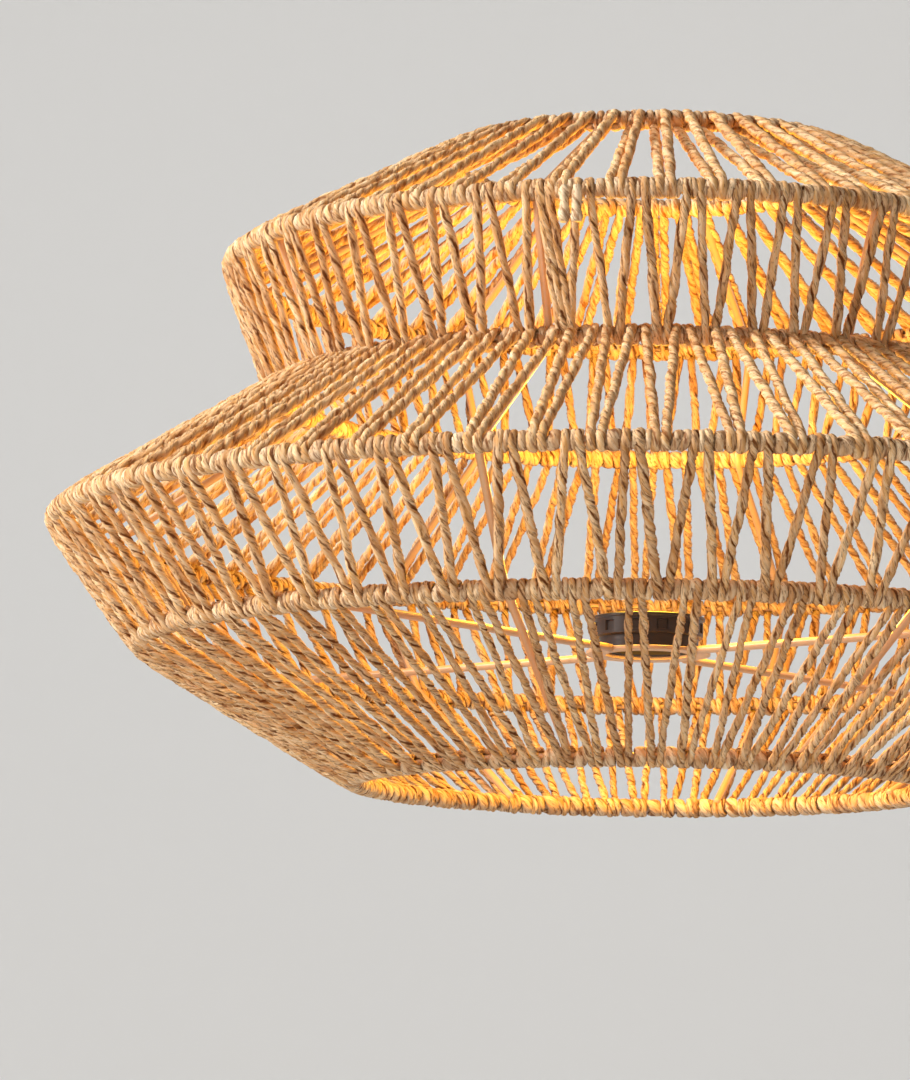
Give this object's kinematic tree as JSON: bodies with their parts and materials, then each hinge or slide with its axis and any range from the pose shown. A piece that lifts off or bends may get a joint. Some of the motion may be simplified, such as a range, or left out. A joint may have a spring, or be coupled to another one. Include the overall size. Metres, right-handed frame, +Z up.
{
  "type": "lamp shade",
  "caption": "Tiered lamp shade of twisted paper rope wound in zigzags over a welded wire frame, with a spider fitter and a threaded shade ring.",
  "frame": {"origin": "middle of the underside, on the surface that the shade's bottom ring rests on", "axes": "+Z up along the shade's axis; -Y is the front that the reference view faces"},
  "size_m": [0.6, 0.6, 0.3224],
  "materials": {
    "wire_paint": "satin cream paint over steel wire",
    "rope": "matte two-ply twisted paper rope, with dark flecks",
    "rope_wraps": "matte paper rope pressed round the rings, smoother than the free strands",
    "phenolic": "satin dark phenolic"
  },
  "bodies": {
    "shade": {"top_ring": "wire_paint", "upper_rim_ring": "wire_paint", "waist_ring": "wire_paint", "widest_ring": "wire_paint", "lower_rim_ring": "wire_paint", "bottom_ring": "wire_paint", "rib_1": "wire_paint", "rib_2": "wire_paint", "rib_3": "wire_paint", "rib_4": "wire_paint", "rib_5": "wire_paint", "rib_6": "wire_paint", "rib_7": "wire_paint", "rib_8": "wire_paint", "fitter_ring": "wire_paint", "spider_arm_1": "wire_paint", "spider_arm_2": "wire_paint", "spider_arm_3": "wire_paint", "spider_arm_4": "wire_paint", "top_binding": "rope_wraps", "upper_rim_binding": "rope_wraps", "waist_binding": "rope_wraps", "widest_binding": "rope_wraps", "lower_rim_binding": "rope_wraps", "bottom_binding": "rope_wraps", "crown_winding": "rope", "upper_band_winding": "rope", "shoulder_winding": "rope", "wide_band_winding": "rope", "lower_cone_winding": "rope", "rope_tail_1": "rope", "rope_tail_2": "rope"},
    "shade_ring": {"shade_ring": "phenolic"}
  },
  "joints": [
    {"name": "shade_ring_turn", "type": "hinge", "parent": "shade", "child": "shade_ring", "pos_m": [0, 0, 0.07929], "axis": [0, 0, 1], "continuous": true}
  ]
}
